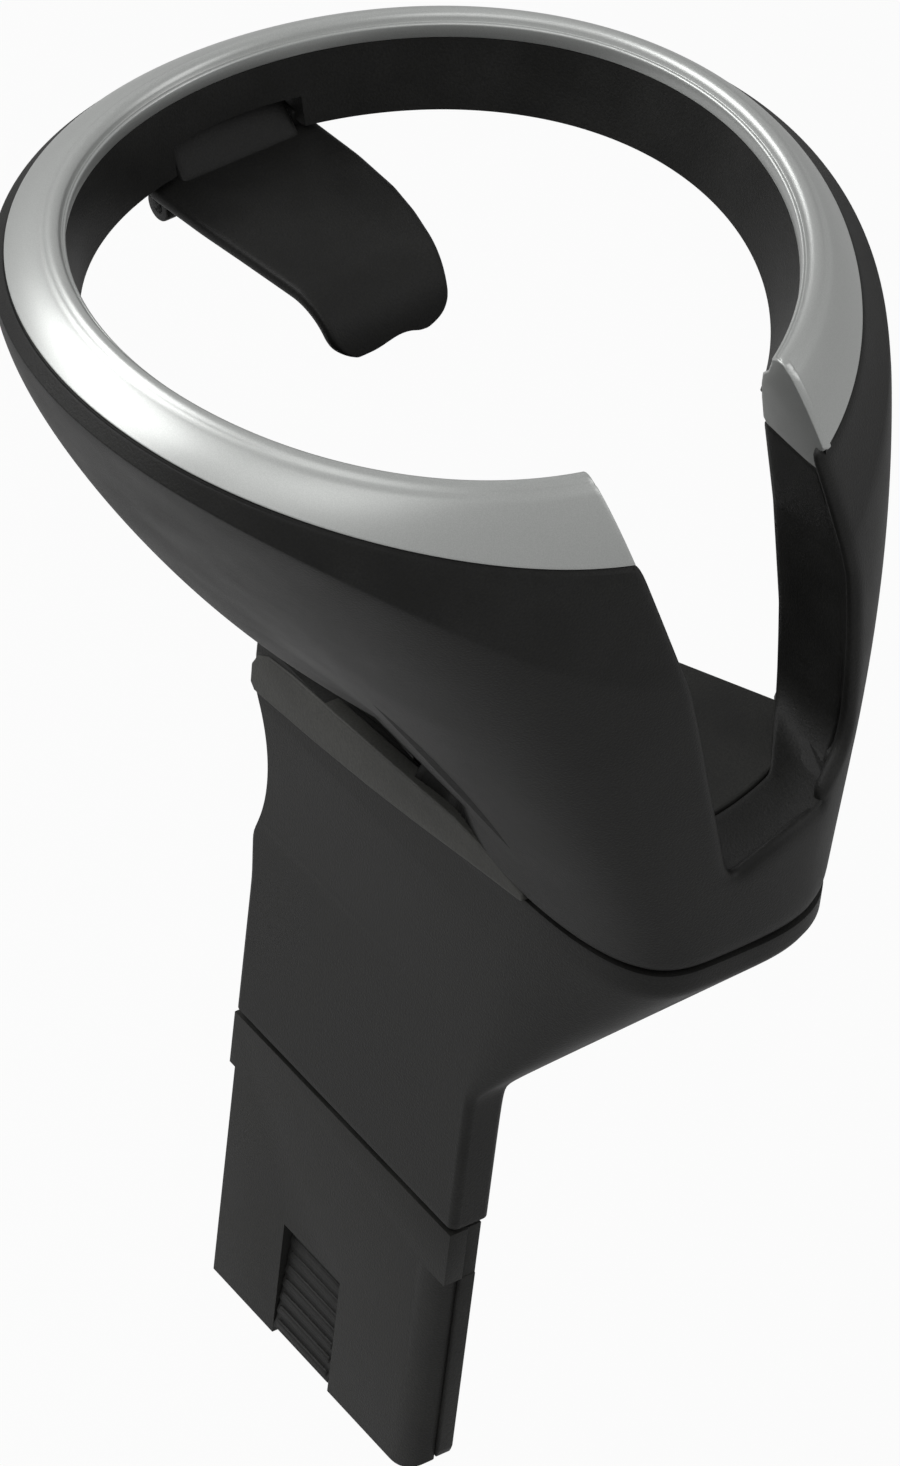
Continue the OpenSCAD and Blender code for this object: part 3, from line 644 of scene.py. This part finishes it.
def plate(name, outline, thick, bevel, place):
    """A flat plate cut to an outline of points (p, q); place turns p, q and depth into the frame."""
    bpy.ops.object.select_all(action="DESELECT")
    bpy.ops.mesh.primitive_circle_add(vertices=len(outline), radius=1, fill_type="NGON")
    obj = bpy.context.object
    obj.name = name
    for v, (p, q) in zip(obj.data.vertices, outline):
        v.co = Vector((p, q, 0)) * MM
    thickened = {"value": (0, 0, -thick * MM)}
    in_edit(obj, outward, lambda: bpy.ops.mesh.extrude_region_move(TRANSFORM_OT_translate=thickened),
            lambda: bpy.ops.mesh.select_all(action="SELECT"), outward)
    modify(obj, "BEVEL", width=bevel * MM, segments=3, limit_method="ANGLE", angle_limit=rad(60))
    for v in obj.data.vertices:
        p, q, depth = v.co / MM
        v.co = place(p, q, depth) * MM
    in_edit(obj, outward)
    rounded_shading(obj, 40)
    return obj


def trim_end_cap():
    """The trim's closed end on the slot's right side, which also covers the end of the band."""
    points = [trim_profile(slot_ends(trim_profile, k)[0], k) for k in range(TRIM_PTS)]
    outline = [(points[k].x, points[k].z) for k in range(CREST, FLANK_END)]
    tip = points[FLANK_END]
    outline += [(tip.x - 0.1, tip.z + 0.1), (tip.x - 0.9, tip.z - 1.0), (tip.x - 2.6, 114.5),
                (35.0, 114.2), (31.0, 114.2), (27.6, 114.3), (27.2, 115.2), (28.2, 119.2), (29.1, 122.2),
                (30.1, 124.6), (31.6, 126.2)]
    outline += [(points[k].x, points[k].z) for k in (1, 3, 8)]
    cap = plate("cap", outline, 1.2, 0.3, lambda x, z, depth: Vector((x, right_y(z) - 0.3 - depth, z)))
    return placed(cap, "trim_end_cap", "silver_paint", "holder")


def strip_piece():
    """The wedge let into the cradle's face, coloured lighter as painted light for an upward-facing shoulder
    that this upright plate lacks; its upper edge runs in under the scoop.
    """
    outline = [(-25.2, 48.6), (-24.3, 47.8), (-22.6, 47.9), (-12, 49.0), (-1.1, 50.4), (8, 51.9),
               (17.7, 53.7), (27.0, 55.3), (27.6, 55.8), (27.2, 56.6), (21.6, 57.5), (13.8, 57.7),
               (9.6, 57.3), (0, 56.4), (-9.6, 55.6), (-18, 54.9), (-22.4, 54.2), (-24.4, 53.0), (-25.3, 51.2)]
    face = FACE_Y - 0.28
    strip = plate("strip", outline, 2.4, 0.3, lambda x, z, depth: Vector((x, face - depth, z)))
    return placed(strip, "cradle_strip_wedge", "strip_abs", "holder", "cradle_strip")


# Inner band, hinge and latch.
def inner_band_piece():
    """The ring's inner wall, with the notch and the ears of the hinge."""
    r = RING_R - 0.3
    foot, out = r - BAND_TAPER, r + BAND_T
    points = [(foot, -BAND_H + 0.3), (foot + 0.1, -BAND_H + 0.6), (r - BAND_TAPER / 2, -BAND_WAIST),
              (r, -LIP_H), (out, -LIP_H), (out, -BAND_WAIST), (out, -BAND_H), (foot + 0.4, -BAND_H)]

    def section(a, k):
        return on_ring(points[k][0], a, rim_z(a) + points[k][1])
    obj = swept("band", 240, section, len(points))
    side_gap = 0.5
    half = TAB_W / 2 + side_gap
    bpy.ops.mesh.primitive_cube_add(size=1)
    tool = bpy.context.object
    tool.scale = Vector((8, 2 * half, ARM_T + TAB_H + side_gap)) * MM
    bpy.ops.object.transform_apply(scale=True)
    tool.matrix_world = hinge_frame @ Matrix.Translation(
        Vector((-2 * BAND_T + 4, TAB_Y, ARM_DROP + 0.4 + (ARM_T + TAB_H + side_gap) / 2)) * MM)
    modify(obj, "BOOLEAN", operation="DIFFERENCE", object=tool, solver="EXACT")
    bpy.data.objects.remove(tool)
    parts = [obj]
    for y in (TAB_Y - EAR_Y, TAB_Y + EAR_Y):
        parts.append(barrel(y - EAR_W / 2, EAR_W, "ear"))
        parts.append(block("ear", (-BARREL_R - 0.8, y - EAR_W / 2, 0),
                           (0.3, y + EAR_W / 2, ARM_DROP + ARM_T + 1.6), hinge_frame))
    joined("band", parts)
    rounded_shading(obj, 30)
    return placed(obj, "inner_band_wall", "black_abs", "holder", "inner_band")


hinge_at = Vector((RING_X - (RING_R - 1.4), RING_Y + 0.8, rim_z(180) - BAND_H - 0.4 - ARM_T - ARM_DROP))
hinge_frame = Matrix.Translation(hinge_at * MM) @ Matrix.Rotation(rad(ARM_ROLL), 4, "X")
BARREL_R = PIN_D / 2 + 0.95


def barrel(y, length, name):
    """A short barrel on the hinge's axis, with its rims rounded."""
    bpy.ops.object.select_all(action="DESELECT")
    bpy.ops.mesh.primitive_cylinder_add(vertices=48, radius=BARREL_R * MM, depth=length * MM)
    obj = bpy.context.object
    obj.name = name
    obj.matrix_world = hinge_frame @ Matrix.Translation(Vector((0, y + length / 2, 0)) * MM) \
        @ Matrix.Rotation(rad(90), 4, "X")
    bpy.ops.object.transform_apply(location=True, rotation=True, scale=True)
    modify(obj, "BEVEL", width=0.25 * MM, segments=3, limit_method="ANGLE", angle_limit=rad(50))
    return obj


def joined(name, parts):
    """Several solids of one moulding, as one object."""
    only(parts[0])
    for p in parts:
        p.select_set(True)
    bpy.ops.object.join()
    parts[0].name = name
    return parts[0]


def block(name, low, high, place, bevel=0.3):
    """A small block between two corners, in millimetres, with rounded edges."""
    bpy.ops.object.select_all(action="DESELECT")
    bpy.ops.mesh.primitive_cube_add(size=1)
    obj = bpy.context.object
    obj.name = name
    lo, hi = Vector(low), Vector(high)
    obj.matrix_world = place @ Matrix.Translation((lo + hi) / 2 * MM) \
        @ Matrix.Diagonal(((hi.x - lo.x) * MM, (hi.y - lo.y) * MM, (hi.z - lo.z) * MM, 1))
    bpy.ops.object.transform_apply(location=True, rotation=True, scale=True)
    modify(obj, "BEVEL", width=bevel * MM, segments=3)
    return obj


def latch_piece():
    """The latch's wedge with its grip ribs."""
    parts = [softened("latch_wedge", 0.08, "latch_wedge_ribs", "black_abs", segments=1)]
    left, right_side = LATCH_X - LATCH_W / 2 + 0.5, LATCH_X + LATCH_W / 2 - 0.5
    for k in range(RIBS):
        t = (k + 0.5) / RIBS
        z = LATCH_FOOT - BLADE_L + 0.4 + k * (LATCH_H - 1.5) / RIBS
        y = -STEM_T / 2 + LATCH_DEEP * t * 0.86
        parts.append(block("rib", (left, y - 0.16, z), (right_side, y + 0.8, z + 1.1), Matrix(), 0.3))
    rounded_shading(joined("latch_wedge_ribs", parts), 40)


# Spring arm: the flap's edges as (distance along it, Y), and the stop tab.
ARM_LEFT = [(0, -11.2), (3.6, -10.64), (9, -9.8), (15.1, -8.6), (23.1, -7.1), (28, -6.55),
            (30.6, -6.3), (31.8, -5.95), (32.8, -5.2), (33.5, -4.3), (33.9, -3.4)]
ARM_RIGHT = [(0, 11.2), (3, 11.6), (8.3, 12.3), (14.8, 12.57), (19.3, 12.13), (27.2, 10.5),
             (30.8, 9.7), (31.8, 9.3), (32.8, 8.5), (33.5, 7.3), (33.9, 5.9)]
ARM_FROM, ARM_END, ARM_SAG, HOOK_R = 0.4, 33.9, 0.6, 8.0
HOOK_FROM = ARM_L - HOOK_R


def arm_face(s):
    """Point of the flap's upper face at distance s along it: flat, then round the hook."""
    if s < HOOK_FROM:
        return s, ARM_DROP + ARM_T - ARM_SAG * s / HOOK_FROM
    t = (s - HOOK_FROM) / HOOK_R
    return HOOK_FROM + HOOK_R * math.sin(t), ARM_DROP + ARM_T - ARM_SAG - HOOK_R * (1 - math.cos(t))


def at_hinge(x, y, z):
    return hinge_frame @ (Vector((x, y, z)) * MM) / MM


def sheet(name, nu, nv, place, thick):
    """A sheet whose given face is the upper one, thickened downwards and rounded at its edges."""
    obj = formed(name, nu, nv, place)
    in_edit(obj, merged)
    modify(obj, "SOLIDIFY", thickness=thick * MM, offset=-1.0, use_even_offset=False)
    modify(obj, "SUBSURF", levels=2, render_levels=2)
    return obj


def arm_piece():
    """Flap, stop tab and barrels of the spring arm, as one moulding."""
    def flap_place(u, v):
        # the rows lie closer towards the tip, whose edge is a little hollow in the middle
        notch = 0.7 * math.exp(-((u - 0.42) / 0.2) ** 2)
        s = ARM_FROM + (ARM_END - notch * v ** 5 - ARM_FROM) * (1 - (1 - v) ** 1.35)
        x, z = arm_face(s)
        return at_hinge(x, mix(between(ARM_LEFT, s), between(ARM_RIGHT, s), 1 - u), z)
    flap = sheet("flap", 16, 44, flap_place, ARM_T)
    # the tab's front, from its top down into the flap, at shares of its height
    front_x = [(0, -2.4), (0.72, 1.6), (0.84, 2.1), (1, 2.9)]
    front_z = [(0, ARM_DROP + ARM_T + TAB_H + 0.2), (0.72, 4.35), (0.84, 3.95), (1, 3.8)]

    def tab_place(u, v):
        return at_hinge(between(front_x, v), TAB_Y + TAB_W * (0.5 - u), between(front_z, v))
    tab = sheet("tab", 14, 12, tab_place, 1.4)
    half = EAR_Y - EAR_W / 2 - 0.3
    spring_half = 2.6
    length = half - spring_half
    parts = [flap, tab]
    for y in (TAB_Y - half, TAB_Y + spring_half):
        parts.append(barrel(y, length, "barrel"))
        parts.append(block("neck", (0.2, y, 0), (BARREL_R + 0.4, y + length, ARM_DROP + 0.5), hinge_frame))
    arm = joined("spring_arm_moulding", parts)
    rounded_shading(arm, 50)
    return placed(arm, "spring_arm_moulding", "arm_abs", "arm", "spring_arm")


# Cradle and stem: sections that grow from the flat stem into the scoop's foot.
def support_table(points, n):
    """For each of n directions, the point of a closed outline that reaches furthest."""
    table = []
    for k in range(n):
        a = 2 * math.pi * k / n
        c, s = math.cos(a), math.sin(a)
        table.append(max(points, key=lambda p: p[0] * c + p[1] * s))
    return table


def cradle_piece():
    """Cradle and stem, as one skin from the foot of the scoop to the blade."""
    n, rows, corner = 144, 64, 1.1
    back_x, back_y = RING_X - FOOT_BACK, RING_Y + 11
    cut_x, cut_y = -math.sin(rad(BACK_TURN)), math.cos(rad(BACK_TURN))
    foot = []
    for k in range(1440):
        x, y = foot_pt(k / 4)
        # the back corner is cut off along a straight line
        if x >= back_x + 1.5 and (x - back_x) * cut_x + (y - back_y) * cut_y <= 0:
            foot.append((x, y))
    face_y = min(p[1] for p in foot)
    foot += [(back_x, face_y + 0.6), (back_x + 0.5, face_y), (back_x, back_y - 0.5)]
    x1 = min(p[0] for p in foot if p[1] > RING_Y + 30)
    foot.append((x1, back_y + (x1 - back_x) * math.tan(rad(BACK_TURN))))
    top = support_table(foot, n)
    low = []
    for k in range(n):
        a = 2 * math.pi * k / n
        c, s = math.cos(a), math.sin(a)
        low.append((math.copysign(STEM_W / 2 - corner, c) + corner * c,
                    math.copysign(STEM_T / 2 - corner, s) + corner * s))
    z_top = SEAM_H - 0.15

    def share(z):
        """Share of the foot in the section at height z, with a soft start at the neck."""
        t = (z - STEM_NECK) / (z_top - 3 - STEM_NECK)
        soft = 0.035
        return min(1.0, (t + math.sqrt(t * t + soft * soft)) / 2)

    def place(u, v):
        k = round(u * n) % n
        z = z_top * v
        s = share(z)
        x = mix(low[k][0], top[k][0], s)
        y = mix(low[k][1], top[k][1], s)
        dz = abs(z - HOLLOW_Z)
        if dz < HOLLOW_R:
            # the round hollow in the left side
            x_cut = -STEM_W / 2 + HOLLOW_D - HOLLOW_R - 1.4 + math.sqrt(HOLLOW_R ** 2 - dz ** 2)
            soft = 0.35
            x = (x + x_cut + math.sqrt((x - x_cut) ** 2 + soft ** 2)) / 2
        return Vector((x, y, z))
    obj = formed("cradle", n, rows, place)
    in_edit(obj, merged, capped, outward)
    modify(obj, "BEVEL", width=0.35 * MM, segments=3, limit_method="ANGLE", angle_limit=rad(60))
    rounded_shading(obj, 45)
    return placed(obj, "cradle_stem_moulding", "black_abs", "holder", "cradle_stem")


# Materials.
def hexa(code):
    """sRGB hex to linear colour."""
    out = []
    for k in (0, 2, 4):
        c = int(code[k:k + 2], 16) / 255
        out.append(c / 12.92 if c <= 0.04045 else ((c + 0.055) / 1.055) ** 2.4)
    return (*out, 1.0)


def add(tree, kind, settings=None, **links):
    """Adds one node; settings are attributes or socket values, links are sockets it reads."""
    n = tree.nodes.new(kind)
    for key, value in (settings or {}).items():
        if key in n.inputs:
            n.inputs[key].default_value = value
        else:
            setattr(n, key, value)
    for key, source in links.items():
        tree.links.new(source, n.inputs[key.replace("_", " ")])
    return n


def new_material(name):
    mat = bpy.data.materials.new(name)
    mat.use_nodes = True
    mat.node_tree.nodes.clear()
    return mat, mat.node_tree


def moulded_plastic(name, dark, light, rough, grain_mm, depth_mm):
    """ABS moulded in a spark-eroded tool: black through and through, with a fine grain that breaks up
    the reflections, and cloudy patches where the grain is flatter."""
    mat, t = new_material(name)
    co = add(t, "ShaderNodeTexCoord").outputs["Object"]
    grain = add(t, "ShaderNodeTexNoise", {"Scale": 1000 / grain_mm, "Detail": 3.0, "Roughness": 0.6}, Vector=co)
    cloud = add(t, "ShaderNodeTexNoise", {"Scale": 1000 / 9.0, "Detail": 2.0}, Vector=co)
    tone = add(t, "ShaderNodeMath", {"operation": "MULTIPLY"})
    t.links.new(grain.outputs["Fac"], tone.inputs[0])
    t.links.new(cloud.outputs["Fac"], tone.inputs[1])
    ramp = add(t, "ShaderNodeValToRGB", Fac=tone.outputs[0])
    ramp.color_ramp.elements[0].position = 0.1
    ramp.color_ramp.elements[0].color = hexa(dark)
    ramp.color_ramp.elements[1].position = 0.45
    ramp.color_ramp.elements[1].color = hexa(light)
    spread = {"From Min": 0.3, "From Max": 0.7, "To Min": rough - 0.04, "To Max": rough + 0.04}
    rough_map = add(t, "ShaderNodeMapRange", spread, Value=cloud.outputs["Fac"])
    bump = add(t, "ShaderNodeBump", {"Strength": 0.5, "Distance": depth_mm * MM}, Height=grain.outputs["Fac"])
    shader = add(t, "ShaderNodeBsdfPrincipled", {"IOR": 1.5, "Specular IOR Level": 0.22},
                 Base_Color=ramp.outputs["Color"], Roughness=rough_map.outputs["Result"],
                 Normal=bump.outputs["Normal"])
    add(t, "ShaderNodeOutputMaterial", Surface=shader.outputs[0])
    return mat


def silver_paint():
    """Aluminium-flake paint on moulded ABS under a satin lacquer: broad soft highlights, with a
    barely visible sparkle from the flakes."""
    mat, t = new_material("satin aluminium-flake paint")
    co = add(t, "ShaderNodeTexCoord").outputs["Object"]
    flake = add(t, "ShaderNodeTexNoise", {"Scale": 1000 / 0.12, "Detail": 1.0}, Vector=co)
    cloud = add(t, "ShaderNodeTexNoise", {"Scale": 1000 / 14.0, "Detail": 1.0}, Vector=co)
    ramp = add(t, "ShaderNodeValToRGB", Fac=flake.outputs["Fac"])
    ramp.color_ramp.elements[0].position = 0.35
    ramp.color_ramp.elements[0].color = hexa("b2b4b2")
    ramp.color_ramp.elements[1].position = 0.68
    ramp.color_ramp.elements[1].color = hexa("bcbebc")
    spread = {"From Min": 0.3, "From Max": 0.7, "To Min": 0.34, "To Max": 0.38}
    rough = add(t, "ShaderNodeMapRange", spread, Value=cloud.outputs["Fac"])
    bump = add(t, "ShaderNodeBump", {"Strength": 0.12, "Distance": 0.004 * MM}, Height=flake.outputs["Fac"])
    shader = add(t, "ShaderNodeBsdfPrincipled", {"Metallic": 0.6, "IOR": 1.5}, Base_Color=ramp.outputs["Color"],
                 Roughness=rough.outputs["Result"], Normal=bump.outputs["Normal"])
    add(t, "ShaderNodeOutputMaterial", Surface=shader.outputs[0])
    return mat


def zinc_steel():
    """Zinc-plated steel wire and screws: drawn or turned, lightly dulled."""
    mat, t = new_material("zinc-plated steel")
    co = add(t, "ShaderNodeTexCoord").outputs["Object"]
    mark = add(t, "ShaderNodeTexNoise", {"Scale": 1000 / 0.6, "Detail": 2.0}, Vector=co)
    ramp = add(t, "ShaderNodeValToRGB", Fac=mark.outputs["Fac"])
    ramp.color_ramp.elements[0].color = hexa("8f9194")
    ramp.color_ramp.elements[1].color = hexa("c3c5c8")
    shader = add(t, "ShaderNodeBsdfPrincipled", {"Metallic": 1.0, "Roughness": 0.34},
                 Base_Color=ramp.outputs["Color"])
    add(t, "ShaderNodeOutputMaterial", Surface=shader.outputs[0])
    return mat


finish = {
    "silver_paint": silver_paint(),
    "black_soft": moulded_plastic("grained black ABS shell", "131312", "222221", 0.5, 0.28, 0.12),
    "black_abs": moulded_plastic("grained black ABS", "151514", "252524", 0.5, 0.28, 0.12),
    "arm_abs": moulded_plastic("fine black ABS arm", "141413", "222221", 0.48, 0.25, 0.1),
    # The strip's grey is partly its own moulding and partly painted light: it is lighter as if lit on an
    # upward-facing shoulder, which this upright plate does not have.
    "strip_abs": moulded_plastic("dark grey ABS strip with painted light", "333331", "444441", 0.5, 0.28, 0.1),
    "blade_abs": moulded_plastic("grained black ABS blade", "171716", "282826", 0.5, 0.28, 0.12),
    "rubber_pad": moulded_plastic("matt rubber pad", "1f1f1e", "2e2e2c", 0.6, 0.3, 0.12),
    "steel": zinc_steel(),
}

# Pieces.
trim_ring_piece()
scoop_skin()
scoop_core()
slot_lining()
trim_end_cap()
inner_band_piece()
arm_piece()
cradle_piece()
softened("blade_front", 0.35, "blade_front_plate", "blade_abs")
softened("blade_rear", 0.3, "blade_rear_plate", "blade_abs")
latch_piece()
softened("floor_pad", 0.3, "floor_pad_rubber", "rubber_pad")
under_sill(softened("cup_liner", 0.2, "cup_liner_wall", "black_abs"))
strip_piece()
softened("stem_cover", 0.25, "stem_cover_plate", "black_abs")

slots = {s["node"]: s["material_slot"] for s in frame["record"]["subparts"]}
for node_name, obj in frame["nodes"].items():
    obj.data.materials.clear()
    obj.data.materials.append(finish[slots[node_name]])
for obj in bpy.context.scene.objects:
    if obj.type == "MESH" and obj.name not in frame["nodes"]:
        obj.data.materials.clear()
        obj.data.materials.append(finish[obj["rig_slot"]])

# Floor, world and light.
FLOOR_Z = -0.16
bpy.ops.object.select_all(action="DESELECT")
bpy.ops.mesh.primitive_plane_add(size=8, location=(0, 0, FLOOR_Z))
floor = bpy.context.object
floor.name = "studio_floor"
floor_mat, ft = new_material("white paper sweep")
seen = add(ft, "ShaderNodeLightPath")
paper = add(ft, "ShaderNodeBsdfDiffuse", {"Color": (0.6, 0.6, 0.6, 1)})
glow = add(ft, "ShaderNodeEmission", {"Color": (1, 1, 1, 1), "Strength": 1.0})
blend = add(ft, "ShaderNodeMixShader", Fac=seen.outputs["Is Camera Ray"])
ft.links.new(paper.outputs[0], blend.inputs[1])
half = add(ft, "ShaderNodeMixShader", {"Fac": 0.93})
ft.links.new(paper.outputs[0], half.inputs[1])
ft.links.new(glow.outputs[0], half.inputs[2])
ft.links.new(half.outputs[0], blend.inputs[2])
add(ft, "ShaderNodeOutputMaterial", Surface=blend.outputs[0])
floor.data.materials.append(floor_mat)

world = bpy.data.worlds.new("studio")
bpy.context.scene.world = world
world.use_nodes = True
wt = world.node_tree
wt.nodes.clear()
path = add(wt, "ShaderNodeLightPath")
dim = add(wt, "ShaderNodeBackground", {"Color": (1, 1, 1, 1), "Strength": 0.5})
white = add(wt, "ShaderNodeBackground", {"Color": (1, 1, 1, 1), "Strength": 1.0})
sky = add(wt, "ShaderNodeMixShader", Fac=path.outputs["Is Camera Ray"])
wt.links.new(dim.outputs[0], sky.inputs[1])
wt.links.new(white.outputs[0], sky.inputs[2])
add(wt, "ShaderNodeOutputWorld", Surface=sky.outputs[0])


def softbox(name, toward, distance, size, power):
    """An area lamp that faces the middle of the ring from a direction given in camera axes."""
    data = bpy.data.lights.new(name, "AREA")
    data.shape = "RECTANGLE"
    data.size, data.size_y = size
    data.energy = power
    lamp = bpy.data.objects.new(name, data)
    bpy.context.scene.collection.objects.link(lamp)
    aim = Vector((0, 0, 0.07))
    way = (right * toward[0] + up * toward[1] - look * toward[2]).normalized()
    lamp.location = aim + way * distance
    lamp.rotation_euler = way.to_track_quat("Z", "Y").to_euler()
    return lamp


softbox("key", (-0.75, 0.75, 0.35), 1.1, (0.9, 0.6), 7.0)
softbox("fill", (0.9, 0.25, 0.35), 1.3, (0.5, 0.9), 2.4)
softbox("front", (-0.2, 0.25, 1.0), 1.4, (0.9, 0.6), 2.4)

bpy.context.scene.view_settings.view_transform = "Standard"
